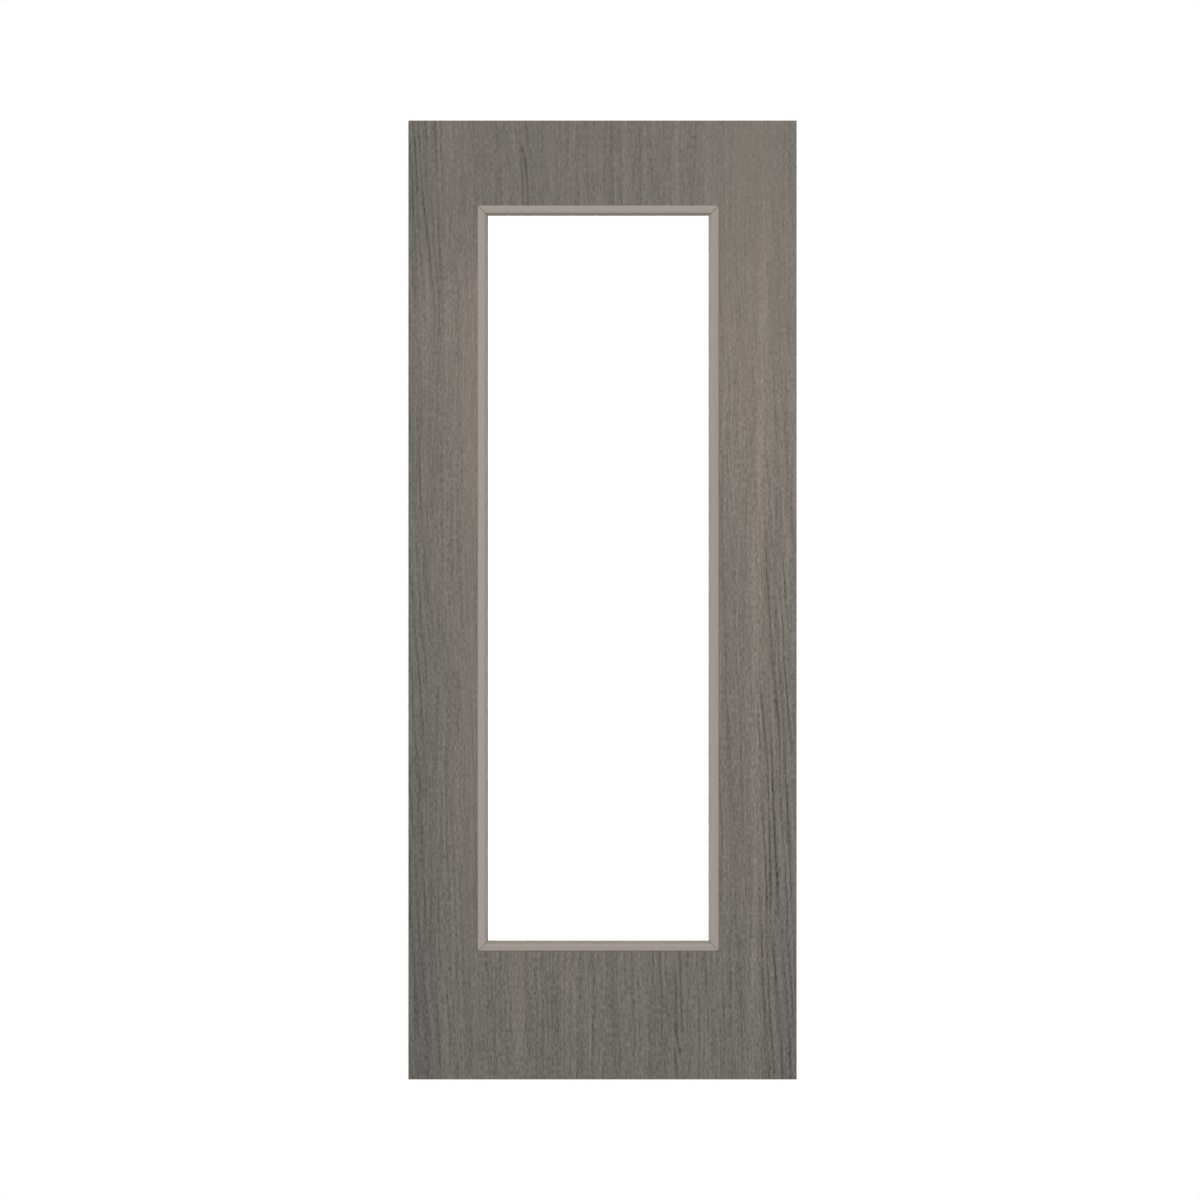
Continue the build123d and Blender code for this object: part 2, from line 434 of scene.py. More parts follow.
# %% [markdown]
# ### Fine lines, marks and pores
# Close up the print is all thin upright lines: streaks, threads and fibres, each a noise of its own width and
# length. The marks that tell this sheet from another are set one by one: heart lines that run to a pin knot
# at the head and at the foot, and a few thin dark and pale lines. Real pores are thinner than these, which
# are drawn wide enough to show.

# %% Write the fine lines
LAYERS = {
    # name: (width and length in mm, strength in tone steps, octaves)
    "streaks": (6.2, 300.0, 42.0, 2.0),
    "threads": (5.2, 46.0, 36.0, 2.0),
    "fibres": (3.7, 10.0, 50.0, 1.0),
    "haze": (1.3, 7.0, 12.0, 1.0),
}
RING_ZONE_FLAT = 0.6
RING_ZONES = {
    # name: (across and up to its middle, half width, half length in mm, tone steps of its darkest lines)
    "hinge edge at the head": (32, 1960, 48, 430, 22),
    "hinge edge": (14, 400, 34, 1250, 16),
    "lock edge": (784, 100, 44, 1550, 19),
    "lock edge at the foot": (784, 60, 44, 760, 6),
}
MARKS = {
    # name: (across and up to its middle, half width, half length in mm, lean to the right, tone steps)
    "heart line at the head": (251.6, 1890, 4.4, 90, -0.05, -21),
    "second line at the head": (240.6, 1900, 4.4, 110, -0.03, -14),
    "pin knot at the head": (242.5, 1978, 6.4, 6.5, 0.0, -15),
    "line under the knot at the head": (246.2, 1962, 4.4, 34, -0.1, -9),
    "line over the knot at the head": (250.8, 2015, 4.4, 46, -0.1, -10),
    "dark streak at the head": (432, 1950, 4.0, 200, -0.03, -7),
    "second dark streak at the head": (450, 1930, 4.0, 150, -0.03, -7),
    "pale line at the head": (440, 1900, 2.4, 90, -0.03, 18),
    "second pale line at the head": (407, 1960, 2.0, 160, -0.01, 9),
    "third pale line at the head": (322, 1905, 2.0, 90, -0.01, 8),
    "heart line at the foot": (579.5, 205, 4.4, 140, -0.008, -22),
    "second line at the foot": (569.5, 165, 4.4, 80, -0.02, -18),
    "bend to the knot at the foot": (571, 84, 4.4, 46, -0.12, -20),
    "pin knot at the foot": (575.9, 62.4, 6.8, 6.5, 0.0, -21),
    "line under the knot at the foot": (570.2, 14, 4.4, 56, -0.13, -22),
    "pale line at the foot": (385, 110, 2.6, 150, 0.0, 26),
    "dark line beside it": (394, 120, 4.0, 150, 0.0, -9),
    "second pale line at the foot": (419, 175, 2.4, 110, -0.03, 16),
}
PORES = {"width": 0.8, "length": 9.0, "seed": 30, "none below": 0.58, "full above": 0.68, "steps": -11.0}


def fine_lines(tree, near, grain, lively):
    """The fine lines of the print in steps, and the relief that is pressed into it."""
    lines = add(tree, "ShaderNodeValue")
    lines.outputs[0].default_value = -sum(strength / 2 for _, _, strength, _ in LAYERS.values())
    noises = {}
    for seed, (name, (width, length, strength, octaves)) in enumerate(LAYERS.items()):
        noises[name] = noise(tree, grain, width, length, seed, octaves)
        lines = add(tree, "ShaderNodeMath", {0: noises[name], 1: strength, 2: lines},
                    operation="MULTIPLY_ADD")
    lines = add(tree, "ShaderNodeMath", {0: lines, 1: lively}, operation="MULTIPLY")

    rings = ring_lines(tree, near)
    for x, z, half_width, half_length, steps in RING_ZONES.values():
        zone = window(tree, near, x, z, half_width, half_length, flat=RING_ZONE_FLAT)
        share = add(tree, "ShaderNodeMath", {0: zone, 1: rings}, operation="MULTIPLY")
        lines = add(tree, "ShaderNodeMath", {0: share, 1: steps, 2: lines}, operation="MULTIPLY_ADD")
    for x, z, half_width, half_length, lean, steps in MARKS.values():
        share = window(tree, near, x, z, half_width, half_length, lean)
        lines = add(tree, "ShaderNodeMath", {0: share, 1: steps, 2: lines}, operation="MULTIPLY_ADD")

    specks = noise(tree, grain, PORES["width"], PORES["length"], PORES["seed"])
    pores = add(tree, "ShaderNodeMapRange", {"Value": specks, "From Min": PORES["none below"],
                                             "From Max": PORES["full above"]})
    lines = add(tree, "ShaderNodeMath", {0: pores, 1: PORES["steps"], 2: lines}, operation="MULTIPLY_ADD")
    relief = add(tree, "ShaderNodeMath", {0: noises["fibres"], 1: pores}, operation="SUBTRACT")
    return lines, relief


print(len(LAYERS), "fine layers and", len(MARKS), "marks in the print")

# %% [markdown]
# ### The finished laminate
# The broad tone picks a colour from a ramp, because light wood is warmer than dark wood. The fine lines only
# make that colour lighter or darker, because ink of one hue prints them. The coat is matt, a little smoother
# on the raised fibres than in the pressed pores.

# %% Put the laminate together
TONE_REACH = 45.0
OAK_TONES = {0.0: "#4A4A49", 0.5: "#767069", 1.0: "#A49788"}
LIGHT_PER_STEP = 0.02
RELIEF_RANGE = (-0.5, 0.8)
LAMINATE_ROUGHNESS = (0.68, 0.52)
LAMINATE_SPECULAR = 0.2
EMBOSS_DEPTH = 0.06 * MM


def oak_laminate(name, turn=0.0, shift=(0.0, 0.0, 0.0)):
    """Melamine laminate with a printed, embossed grey oak decor: matt, with pores that catch the light."""
    material, tree, output = new_material(name)
    place = add(tree, "ShaderNodeTexCoord")
    decor = add(tree, "ShaderNodeMapping", {"Vector": place.outputs["Object"], "Location": shift,
                                            "Rotation": (0, 0, turn), "Scale": (1 / MM,) * 3})
    near = strayed(tree, decor, SWAY, 0.0)
    grain = strayed(tree, near, SWEEP, GRAIN_LEAN)
    lively = liveliness(tree, decor, near)
    tone = broad_tone(tree, decor, near, grain, lively)
    lines, relief = fine_lines(tree, near, grain, lively)
    shade = add(tree, "ShaderNodeMapRange", {"Value": tone, "From Min": -TONE_REACH, "From Max": TONE_REACH})
    colour = add(tree, "ShaderNodeValToRGB", {"Fac": shade}, stops=OAK_TONES)
    brightness = add(tree, "ShaderNodeMath", {0: lines, 1: LIGHT_PER_STEP, 2: 1.0}, operation="MULTIPLY_ADD")
    print_colour = add(tree, "ShaderNodeVectorMath", {0: colour, "Scale": brightness}, operation="SCALE")
    matt = add(tree, "ShaderNodeMapRange", {"Value": relief, "From Min": RELIEF_RANGE[0],
                                            "From Max": RELIEF_RANGE[1], "To Min": LAMINATE_ROUGHNESS[0],
                                            "To Max": LAMINATE_ROUGHNESS[1]})
    emboss = add(tree, "ShaderNodeBump", {"Height": relief, "Distance": EMBOSS_DEPTH, "Strength": 1.0})
    shader = add(tree, "ShaderNodeBsdfPrincipled", {"Base Color": print_colour, "Roughness": matt,
                                                    "Specular IOR Level": LAMINATE_SPECULAR,
                                                    "Normal": emboss})
    tree.links.new(shader.outputs[0], output.inputs["Surface"])
    return material


BACK_SHEET_SHIFT = (leaf_size.x / MM + 60, 0, -120)
BAND_SHIFT = (470, 0, 0)
front_oak = oak_laminate("grey_oak_laminate_front")
back_oak = oak_laminate("grey_oak_laminate_back", math.pi, BACK_SHEET_SHIFT)
band_oak = oak_laminate("grey_oak_edge_band", math.pi / 2, BAND_SHIFT)
print(len(front_oak.node_tree.nodes), "nodes in the laminate")

# %% [markdown]
# ## The beads' foil
# The beads are moulded from fibreboard and wrapped in a plain taupe foil. It is satin, smoother than the
# laminate, and shows the faint lines along which it was drawn over the moulding. They follow each bead, so
# the pattern is laid on the bead's own map of length and girth. Object coordinates would run the same way on
# all four beads.

# %% Finish of the beads
FOIL_DRAW_LENGTH = 60 * MM
FOIL_DRAW_WIDTH = 0.9 * MM
FOIL_DRAW_DEPTH = 0.02 * MM
FOIL_TONES = {0.3: "#9B9289", 0.7: "#A1988F"}
FOIL_ROUGHNESS = (0.42, 0.52)
FOIL_SPECULAR = 0.2
GIRTH_MAP = "length_and_girth"


def bead_foil():
    """Moulded fibreboard wrapped in a plain taupe foil: satin, with a faint draw along its length."""
    material, tree, output = new_material("taupe_foil_on_moulding")
    place = add(tree, "ShaderNodeUVMap", uv_map=GIRTH_MAP)
    draw = add(tree, "ShaderNodeVectorMath", {0: place, 1: (1 / FOIL_DRAW_LENGTH, 1 / FOIL_DRAW_WIDTH, 0)},
               operation="MULTIPLY")
    fine = add(tree, "ShaderNodeTexNoise", {"Vector": draw, "Scale": 1.0, "Detail": 2.0})
    tint = add(tree, "ShaderNodeValToRGB", {"Fac": fine}, stops=FOIL_TONES)
    satin = add(tree, "ShaderNodeMapRange", {"Value": fine, "To Min": FOIL_ROUGHNESS[0],
                                             "To Max": FOIL_ROUGHNESS[1]})
    draw_lines = add(tree, "ShaderNodeBump", {"Height": fine, "Distance": FOIL_DRAW_DEPTH})
    shader = add(tree, "ShaderNodeBsdfPrincipled", {"Base Color": tint, "Roughness": satin,
                                                    "Specular IOR Level": FOIL_SPECULAR,
                                                    "Normal": draw_lines})
    tree.links.new(shader.outputs[0], output.inputs["Surface"])
    return material


foil = bead_foil()
print(foil.name)

# %% [markdown]
# ## The glass
# The pane is plain float glass, so clear that the white ground shows through it unchanged. In a real room
# light falls through a pane. Blender would let a solid sheet of glass cast a dark shadow, so for shadows
# alone the pane counts as clear.

# %% Glass
GLASS_IOR = 1.52


def float_glass():
    """Clear float glass; lamps shine through it, so that it casts no dark shadow."""
    material, tree, output = new_material("clear_float_glass")
    shader = add(tree, "ShaderNodeBsdfPrincipled", {"Base Color": linear("#FFFFFF"), "Roughness": 0.0,
                                                    "IOR": GLASS_IOR, "Transmission Weight": 1.0})
    clear = add(tree, "ShaderNodeBsdfTransparent")
    rays = add(tree, "ShaderNodeLightPath")
    mixed = add(tree, "ShaderNodeMixShader", {0: rays.outputs["Is Shadow Ray"], 1: shader, 2: clear})
    tree.links.new(mixed.outputs[0], output.inputs["Surface"])
    return material


glass = float_glass()
print(glass.name)

# %% [markdown]
# ## Boards, timber and strips
# The rest of the leaf shows only at its head and foot and in thin lines, but each piece is still what it is.
# Board, plastic, paper and foam are plain, but where they are cut they aren't quite even, so they get a fine
# speckle. The timber is glued up from strips that were sawn from different trees. A flat picture of wood
# would look wrong on the ends, so the grain is solid: each strip has the heart of its own tree somewhere
# beside it, and the growth rings are circles round that heart.

# %% Boards and strips
SPECKLE_DEPTH = 0.1 * MM
SPECKLE_DARK_BELOW = 0.3
SPECKLE_LIGHT_ABOVE = 0.7


def speckled(name, light, dark, grain_mm, roughness):
    """A plain material with a fine speckle, such as fibreboard, kraft paper or foam."""
    material, tree, output = new_material(name)
    place = add(tree, "ShaderNodeTexCoord")
    grit = add(tree, "ShaderNodeTexNoise", {"Vector": place.outputs["Object"], "Scale": 1 / (grain_mm * MM),
                                            "Detail": 3.0})
    tint = add(tree, "ShaderNodeValToRGB", {"Fac": grit},
               stops={SPECKLE_DARK_BELOW: dark, SPECKLE_LIGHT_ABOVE: light})
    rough = add(tree, "ShaderNodeBump", {"Height": grit, "Distance": SPECKLE_DEPTH})
    shader = add(tree, "ShaderNodeBsdfPrincipled", {"Base Color": tint, "Roughness": roughness,
                                                    "Normal": rough})
    tree.links.new(shader.outputs[0], output.inputs["Surface"])
    return material


# Pressed brown fibre, dull and even
fibreboard = speckled("medium_density_fibreboard", "#B08A62", "#97734E", 0.8, 0.85)
# Foil and board where the saw has cut them, darker than the board elsewhere: partly the cut edge's own
# colour, partly painted shade of the gap in the mitre
mitre_cut_and_painted_shade = speckled("cut_edge_and_painted_mitre_shade", "#75685D", "#5A4E45", 0.5, 0.85)
# Grey plastic, sawn and a little shiny
band_core = speckled("core_of_edge_band", "#8A8178", "#7C736B", 0.4, 0.6)
# Resin-soaked brown paper, a thin dark line at the edge of the laminate
kraft = speckled("kraft_paper_core_of_laminate", "#4A3A30", "#3A2D26", 0.5, 0.7)
# Black closed-cell foam, quite dull
foam = speckled("black_glazing_foam", "#2C2C2C", "#1E1E1E", 0.4, 0.9)
print(len(bpy.data.materials), "materials without the timber")

# %% Timber
PITH_SPREAD_MM = Vector((140, 220, 0))
RING_STRETCH = (1, 1, 0.01)
WAVERS_PER_MM = 0.03
WAVER_REACH_MM = 5.0
FIBRES_PER_MM = (2.0, 2.0, 0.05)
FIBRE_SHARE = 0.5
EARLYWOOD_ENDS = 0.55
TIMBER_ROUGHNESS = 0.7
TIMBER_SPECULAR = 0.3
SAWN_DEPTH = 0.1 * MM


def timber(name, light, dark, along, ring_mm, strip_mm):
    """Sawn timber glued up from strips: dull, with growth rings that show as arcs on its ends."""
    material, tree, output = new_material(name)
    place = add(tree, "ShaderNodeTexCoord")
    quarter = (0, math.pi / 2, 0) if along == "X" else (0, 0, 0)
    lie = add(tree, "ShaderNodeMapping", {"Vector": place.outputs["Object"], "Rotation": quarter,
                                          "Scale": (1 / MM,) * 3})
    axes = add(tree, "ShaderNodeSeparateXYZ", {0: lie})
    strip = add(tree, "ShaderNodeMath", {0: axes.outputs["X"], 1: strip_mm}, operation="DIVIDE")
    number = add(tree, "ShaderNodeMath", {0: strip}, operation="FLOOR")
    tree_of_strip = add(tree, "ShaderNodeTexWhiteNoise", {"W": number}, noise_dimensions="1D")
    pith = add(tree, "ShaderNodeVectorMath", {0: tree_of_strip.outputs["Color"], 1: PITH_SPREAD_MM,
                                              2: -PITH_SPREAD_MM / 2}, operation="MULTIPLY_ADD")
    centre = add(tree, "ShaderNodeVectorMath", {0: lie, 1: pith}, operation="ADD")
    section = add(tree, "ShaderNodeVectorMath", {0: centre, 1: RING_STRETCH}, operation="MULTIPLY")
    waver = add(tree, "ShaderNodeTexNoise", {"Vector": section, "Scale": WAVERS_PER_MM, "Detail": 2.0})
    radius = add(tree, "ShaderNodeVectorMath", {0: section}, operation="LENGTH")
    bent = add(tree, "ShaderNodeMath", {0: waver, 1: WAVER_REACH_MM, 2: radius.outputs["Value"]},
               operation="MULTIPLY_ADD")
    turns = add(tree, "ShaderNodeMath", {0: bent, 1: ring_mm}, operation="DIVIDE")
    saw = add(tree, "ShaderNodeMath", {0: turns}, operation="FRACT")
    fibre_spot = add(tree, "ShaderNodeVectorMath", {0: lie, 1: FIBRES_PER_MM}, operation="MULTIPLY")
    fibre = add(tree, "ShaderNodeTexNoise", {"Vector": fibre_spot, "Scale": 1.0, "Detail": 2.0})
    shade = add(tree, "ShaderNodeMath", {0: fibre, 1: FIBRE_SHARE, 2: saw}, operation="MULTIPLY_ADD")
    tint = add(tree, "ShaderNodeValToRGB", {"Fac": shade}, stops={EARLYWOOD_ENDS: light, 1.0: dark})
    sawn = add(tree, "ShaderNodeBump", {"Height": fibre, "Distance": SAWN_DEPTH})
    shader = add(tree, "ShaderNodeBsdfPrincipled", {"Base Color": tint, "Roughness": TIMBER_ROUGHNESS,
                                                    "Normal": sawn, "Specular IOR Level": TIMBER_SPECULAR})
    tree.links.new(shader.outputs[0], output.inputs["Surface"])
    return material


# Pale softwood with soft rings
upright_pine = timber("pine_strips_upright", "#D9BF94", "#BC9363", "Z", 2.6, 48)
level_pine = timber("pine_strips_level", "#D9BF94", "#BC9363", "X", 2.6, 48)
# Red-brown hardwood with close rings
lipping_wood = timber("hardwood_lipping", "#9A6A48", "#7C4F33", "Z", 1.8, 400)
print(len(bpy.data.materials), "materials with the timber")

# %% [markdown]
# ## Finishes on the frame's own solids
# A solid whose shape is right stays as it is and only gets its finish. The end of its name tells what it is,
# so one short table does for all of them.

# %% Dress the frame's solids
FINISHES = {
    "core_stile": upright_pine,
    "core_rail": level_pine,
    "facing_board": fibreboard,
    "lipping": lipping_wood,
    "glass_pane": glass,
    "glazing_strip": foam,
    "setting_block": lipping_wood,
}
for name, node in nodes.items():
    for ending, material in FINISHES.items():
        if name.endswith(ending):
            node.material_slots[0].material = material
print("dressed", sum(name.endswith(tuple(FINISHES)) for name in nodes), "solids")

# %% [markdown]
# ## Laminate sheets
# Each face is one thin sheet with the cut-out sawn through it. The print is on its outer side, and the
# brown paper core shows on the edges. The frame's solid has one finish all over, so the sheet is made again
# as a grid of three by three without its middle, whose sides can differ. It also gets a map for baking its
# print into a picture: the outer side takes nearly all of the square, and the plain sides share a narrow
# strip beside it.

# %% Map and sheet helpers
BAKE_MAP = "OFBake"
PRINT_SHARE = 0.975
PLAIN_START = 0.985
PLAIN_MARGIN = 0.1
CORNERS = ((0, 0), (1, 0), (1, 1), (0, 1))


def new_piece(name, mesh, slot, *replaced):
    """Puts a mesh in the scene, in place of solids of the frame where it stands for any."""
    piece = bpy.data.objects.new(name, mesh)
    scene.collection.objects.link(piece)
    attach(piece, "root")
    if replaced:
        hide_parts(*replaced)
    return piece


def map_for_baking(made, low, high):
    """Lays the printed faces over most of the square and the plain ones in a column beside them."""
    bake = made.loops.layers.uv.new(BAKE_MAP)
    plain = [face for face in made.faces if face.material_index == 1]
    for face in made.faces:
        for loop in face.loops:
            across = (loop.vert.co.x - low.x) / (high.x - low.x)
            up = (loop.vert.co.z - low.z) / (high.z - low.z)
            loop[bake].uv = (across * PRINT_SHARE, up)
    for number, face in enumerate(plain):
        for loop, (right, up) in zip(face.loops, CORNERS):
            across = PLAIN_START + right * (1 - PLAIN_START)
            loop[bake].uv = (across, (number + PLAIN_MARGIN + (1 - 2 * PLAIN_MARGIN) * up) / len(plain))


def sheet_with_hole(name, outer, hole, y_out, y_in):
    """A sheet between two depths, as a grid of three by three with its middle left out."""
    xs = (outer[0].x, hole[0].x, hole[1].x, outer[1].x)
    zs = (outer[0].z, hole[0].z, hole[1].z, outer[1].z)
    made = bmesh.new()
    grids = {y: [[made.verts.new((x, y, z)) for x in xs] for z in zs] for y in (y_out, y_in)}
    cells = [(i, j) for i in range(3) for j in range(3) if (i, j) != (1, 1)]
    for y, grid in grids.items():
        for i, j in cells:
            face = made.faces.new((grid[i][j], grid[i][j + 1], grid[i + 1][j + 1], grid[i + 1][j]))
            face.material_index = 0 if y == y_out else 1
    front = grids[y_out]
    back = grids[y_in]
    rim = [(0, 0), (0, 1), (0, 2), (0, 3), (1, 3), (2, 3), (3, 3), (3, 2), (3, 1), (3, 0), (2, 0), (1, 0)]
    opening = [(1, 1), (1, 2), (2, 2), (2, 1)]
    for loop in (rim, opening):
        for (i, j), (k, m) in zip(loop, loop[1:] + loop[:1]):
            made.faces.new((front[i][j], front[k][m], back[k][m], back[i][j])).material_index = 1
    bmesh.ops.recalc_face_normals(made, faces=made.faces)
    map_for_baking(made, *outer)
    mesh = bpy.data.meshes.new(name)
    made.to_mesh(mesh)
    made.free()
    return mesh


print("the print takes", PRINT_SHARE, "of its picture's width")

# %% Make the laminate sheets
cut_low = Vector((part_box("left_core_stile")[1].x, 0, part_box("bottom_core_rail")[1].z))
cut_high = Vector((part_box("right_core_stile")[0].x, 0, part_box("top_core_rail")[0].z))
for side, oak in (("front", front_oak), ("back", back_oak)):
    low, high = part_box(f"{side}_laminate")
    outer_y, inner_y = (low.y, high.y) if side == "front" else (high.y, low.y)
    mesh = sheet_with_hole(f"{side}_laminate_sheet", (low, high), (cut_low, cut_high), outer_y, inner_y)
    mesh.materials.append(oak)
    mesh.materials.append(kraft)
    new_piece(f"{side}_laminate_sheet", mesh, "wood_grain_laminate", f"{side}_laminate")
    print(f"{side} sheet:", len(mesh.polygons), "faces")

# %% [markdown]
# ## Mouldings
# Beads and edge bands are long pieces of one section. A curve with a bevel could draw them, but it couldn't
# cut their ends. So the section is a list of corners with a radius for each, the same as on the solids but
# with more steps to each arc, and it is drawn out from end to end. A bead's two ends lie on the mitre, so
# each point of its section ends as much further out as it lies from the sight line.

# %% Section and prism helpers
ARC_STEPS = 8
SHARP_ANGLE = math.radians(25)


def rounded(corners):
    """The points of a closed outline whose corners, given as (x, y, radius), are rounded by arcs."""
    points = []
    for i, (x, y, radius) in enumerate(corners):
        corner = Vector((x, y))
        if not radius:
            points.append(corner)
            continue
        before = (Vector(corners[i - 1][:2]) - corner).normalized()
        after = (Vector(corners[(i + 1) % len(corners)][:2]) - corner).normalized()
        half_angle = before.angle(after) / 2
        centre = corner + (before + after).normalized() * radius / math.sin(half_angle)
        reach = radius / math.tan(half_angle)
        start = corner + before * reach - centre
        sweep = start.angle_signed(corner + after * reach - centre)
        for step in range(ARC_STEPS + 1):
            turn = -sweep * step / ARC_STEPS
            points.append(centre + Vector((
                start.x * math.cos(turn) - start.y * math.sin(turn),
                start.x * math.sin(turn) + start.y * math.cos(turn),
            )))
    return points


def inset(outline, depth):
    """The outline drawn in by a depth, point by point."""
    points = []
    for i, point in enumerate(outline):
        along = (outline[(i + 1) % len(outline)] - outline[i - 1]).normalized()
        points.append(point + Vector((along.y, -along.x)) * depth)
    return points


def lofted(name, rings, material, cut_and_shade_material):
    """A closed solid through rings of points, with a map of its length and its girth. Its ends, and the eased
    edges between its two outermost rings, are cut and take the second material, on the beads darkened partly
    as painted shade of the mitre."""
    count = len(rings[0])
    made = bmesh.new()
    loops = [[made.verts.new(point) for point in ring] for ring in rings]
    girth = made.loops.layers.uv.new(GIRTH_MAP)
    body = len(rings) // 2 - 1
    run = [0.0]
    for i in range(count):
        run.append(run[-1] + (rings[body][(i + 1) % count] - rings[body][i]).length)
    along = (rings[-1][0] - rings[0][0]).normalized()
    for span, (near, far) in enumerate(zip(loops, loops[1:])):
        for i in range(count):
            after = (i + 1) % count
            face = made.faces.new((near[i], near[after], far[after], far[i]))
            face.material_index = 0 if span == body else 1
            for loop, round_by in zip(face.loops, (run[i], run[i + 1], run[i + 1], run[i])):
                loop[girth].uv = (loop.vert.co.dot(along), round_by)
    for cap in (loops[0][::-1], loops[-1]):
        face = made.faces.new(cap)
        face.material_index = 1
        for loop in face.loops:
            loop[girth].uv = (loop.vert.co.x, loop.vert.co.z)
    for face in made.faces:
        face.smooth = True
    bmesh.ops.recalc_face_normals(made, faces=made.faces)
    mesh = bpy.data.meshes.new(name)
    made.to_mesh(mesh)
    made.free()
    mesh.set_sharp_from_angle(angle=SHARP_ANGLE)
    mesh.materials.append(material)
    mesh.materials.append(cut_and_shade_material)
    return mesh


print("arcs are drawn in", ARC_STEPS, "steps")

# %% [markdown]
# ### The beads
# A bead's lip lies on the laminate and its body fills the cut-out, down to the strip on the glass. The
# mitred ends are eased a little where the saw has cut them, and the eased faces are darker than the foil,
# partly the cut edge's colour and partly painted shade of the gap, which makes a mitre show as a thin line.

# %% Draw the bead's section
CHAMFER = 7.0 * MM
ARRIS_RADIUS = 0.8 * MM
LIP_RADIUS = 1.2 * MM
LIP_OVERLAP = 7.0 * MM
FIT_CLEARANCE = 0.3 * MM

bead_low, bead_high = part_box("front_left_bead")
sight_low = Vector((bead_high.x, 0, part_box("front_bottom_bead")[1].z))
sight_high = Vector((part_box("front_right_bead")[0].x, 0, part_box("front_top_bead")[0].z))
sight_middle = (sight_low + sight_high) / 2
face_width = bead_high.x - bead_low.x
face_depth = -bead_low.y
seat_depth = -bead_high.y
laminate_depth = -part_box("front_laminate")[0].y
body_width = face_width - LIP_OVERLAP - FIT_CLEARANCE
bead_section = rounded([
    (0, seat_depth, 0),
    (0, face_depth - CHAMFER, ARRIS_RADIUS),
    (CHAMFER, face_depth, ARRIS_RADIUS),
    (face_width, face_depth, LIP_RADIUS),
    (face_width, laminate_depth, 0),
    (body_width, laminate_depth, 0),
    (body_width, seat_depth, 0),
])
print(len(bead_section), "points in the bead's section")

# %% Make the beads
MITRE_EASE_WIDTH = 0.4 * MM
MITRE_EASE_DEPTH = 1.0 * MM

panel_edges = {
    # name: (way out from the glass, middle of the sight line, its length)
    "top": (Vector((0, 0, 1)), Vector((sight_middle.x, 0, sight_high.z)), sight_high.x - sight_low.x),
    "bottom": (Vector((0, 0, -1)), Vector((sight_middle.x, 0, sight_low.z)), sight_high.x - sight_low.x),
    "left": (Vector((-1, 0, 0)), Vector((sight_low.x, 0, sight_middle.z)), sight_high.z - sight_low.z),
    "right": (Vector((1, 0, 0)), Vector((sight_high.x, 0, sight_middle.z)), sight_high.z - sight_low.z),
}
eased_section = inset(bead_section, MITRE_EASE_DEPTH)
for side, facing in (("front", -1), ("back", 1)):
    for edge, (outward, middle, length) in panel_edges.items():
        along = outward.cross(Vector((0, facing, 0)))
        rings = []
        for end, outline, short_by in ((-1, eased_section, 0), (-1, bead_section, MITRE_EASE_WIDTH),
                                       (1, bead_section, MITRE_EASE_WIDTH), (1, eased_section, 0)):
            rings.append([
                middle + outward * p.x + Vector((0, facing * p.y, 0))
                + along * end * (length / 2 + p.x - short_by * math.sqrt(2))
                for p in outline
            ])
        # The cut ends and eased mitre faces take the darker cut colour, partly painted shade of the mitre's
        # gap
        mesh = lofted(f"{side}_{edge}_bead_moulding", rings, foil, mitre_cut_and_painted_shade)
        new_piece(f"{side}_{edge}_bead_moulding", mesh, "bead_foil", f"{side}_{edge}_bead")
print("beads round", len(panel_edges), "edges of the glass on both sides")

# %% [markdown]
# ### The edge bands
# The long edges are covered by thin bands of the same decor, glued on and eased along both arrises.

# %% Make the edge bands
BAND_ARRIS_RADIUS = 0.5 * MM

for edge in ("left", "right"):
    low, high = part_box(f"{edge}_edge_band")
    outer, inner = (low.x, high.x) if edge == "left" else (high.x, low.x)
    section = rounded([
        (inner, low.y, 0),
        (outer, low.y, BAND_ARRIS_RADIUS),
        (outer, high.y, BAND_ARRIS_RADIUS),
        (inner, high.y, 0),
    ])
    rings = [[Vector((p.x, p.y, z)) for p in section] for z in (low.z, high.z)]
    mesh = lofted(f"{edge}_edge_band_strip", rings, band_oak, band_core)
    new_piece(f"{edge}_edge_band_strip", mesh, "wood_grain_laminate", f"{edge}_edge_band")
print("both long edges banded")

# %% [markdown]
# ## Pin heads
# The beads are held by fine panel pins, driven through the splayed face, punched level and stopped with wax
# of the foil's colour, so that they hardly show. They repeat along eight lines, one on each bead, which is
# work for Geometry Nodes: the lines become curves, the curves get evenly spaced points, and each point gets
# a shallow disc that faces out of the splay. The faces' direction travels with the lines as an attribute.

# %% Draw the lines that the pins follow
PIN_END_DISTANCE = 45 * MM

line_points = []
line_facings = []
for facing in (-1, 1):
    for outward, middle, length in panel_edges.values():
        along = outward.cross(Vector((0, facing, 0)))
        splay = (Vector((0, facing, 0)) - outward).normalized()
        on_splay = middle + outward * CHAMFER / 2 + Vector((0, facing * (face_depth - CHAMFER / 2), 0))
        for end in (-1, 1):
            line_points.append(on_splay + along * end * (length / 2 - PIN_END_DISTANCE))
            line_facings.append(splay)
lines_mesh = bpy.data.meshes.new("pin_lines")
lines_mesh.from_pydata(line_points, [(i, i + 1) for i in range(0, len(line_points), 2)], [])
facings = lines_mesh.attributes.new("facing", "FLOAT_VECTOR", "POINT")
facings.data.foreach_set("vector", [axis for splay in line_facings for axis in splay])
print(len(lines_mesh.edges), "lines of pins")

# %% Build the tree that sets the pin heads
PIN_HEAD_SIDES = 16
PIN_RIM_SHARE = 0.8


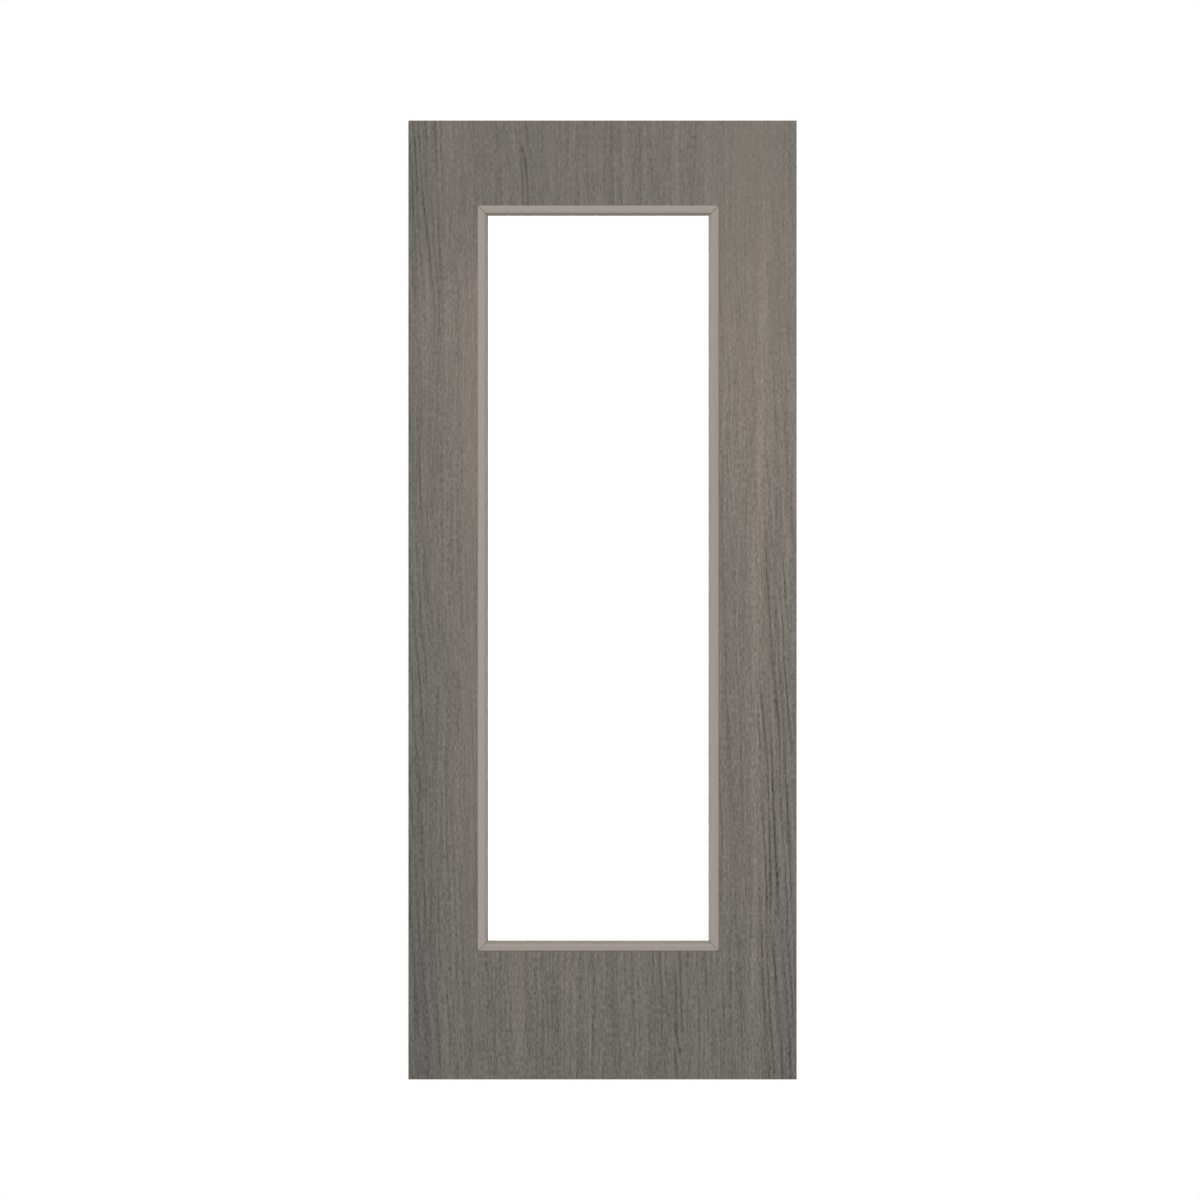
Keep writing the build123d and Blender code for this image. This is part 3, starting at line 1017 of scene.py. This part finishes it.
def pin_head_tree(material):
    """The node tree that sets a pin head on every point of its lines, and its inputs by name."""
    tree = bpy.data.node_groups.new("pin_heads_along_lines", "GeometryNodeTree")
    tree.interface.new_socket("Lines", in_out="INPUT", socket_type="NodeSocketGeometry")
    sizes = {
        name: tree.interface.new_socket(name, in_out="INPUT", socket_type="NodeSocketFloat").identifier
        for name in ("Spacing", "Head Diameter", "Head Height")
    }
    tree.interface.new_socket("Pins", in_out="OUTPUT", socket_type="NodeSocketGeometry")
    given = add(tree, "NodeGroupInput")
    curves = add(tree, "GeometryNodeMeshToCurve", {"Mesh": given.outputs["Lines"]})
    points = add(tree, "GeometryNodeResampleCurve", {"Curve": curves, "Length": given.outputs["Spacing"]},
                 mode="LENGTH")
    radius = add(tree, "ShaderNodeMath", {0: given.outputs["Head Diameter"], 1: 0.5}, operation="MULTIPLY")
    rim = add(tree, "ShaderNodeMath", {0: radius, 1: PIN_RIM_SHARE}, operation="MULTIPLY")
    head = add(tree, "GeometryNodeMeshCone", {"Vertices": PIN_HEAD_SIDES, "Radius Top": rim,
                                              "Radius Bottom": radius, "Depth": given.outputs["Head Height"]})
    facing = add(tree, "GeometryNodeInputNamedAttribute", {"Name": "facing"}, data_type="FLOAT_VECTOR")
    turned = add(tree, "FunctionNodeAlignRotationToVector", {"Vector": facing}, axis="Z")
    pins = add(tree, "GeometryNodeInstanceOnPoints", {"Points": points, "Instance": head, "Rotation": turned})
    real = add(tree, "GeometryNodeRealizeInstances", {"Geometry": pins})
    dressed = add(tree, "GeometryNodeSetMaterial", {"Geometry": real, "Material": material})
    add(tree, "NodeGroupOutput", {"Pins": dressed})
    return tree, sizes


# Soft wax of the foil's colour, rubbed level with it and a little duller
stopping_wax = speckled("stopping_wax_on_pin_heads", "#9A9188", "#92897F", 0.3, 0.6)
pin_tree, pin_inputs = pin_head_tree(stopping_wax)
print(len(pin_tree.nodes), "nodes set the pin heads")

# %% Grow the pin heads along the lines
PIN_SPACING = 155 * MM
PIN_HEAD_DIAMETER = 1.8 * MM
PIN_HEAD_HEIGHT = 0.16 * MM

pin_lines = bpy.data.objects.new("pin_lines", lines_mesh)
scene.collection.objects.link(pin_lines)
pinned = pin_lines.modifiers.new("pin heads", "NODES")
pinned.node_group = pin_tree
pinned[pin_inputs["Spacing"]] = PIN_SPACING
pinned[pin_inputs["Head Diameter"]] = PIN_HEAD_DIAMETER
pinned[pin_inputs["Head Height"]] = PIN_HEAD_HEIGHT
pin_mesh = bpy.data.meshes.new_from_object(pin_lines.evaluated_get(bpy.context.evaluated_depsgraph_get()))
bpy.data.objects.remove(pin_lines)
new_piece("bead_pin_heads", pin_mesh, "bead_foil")
print(len(pin_mesh.polygons), "faces in the pin heads")
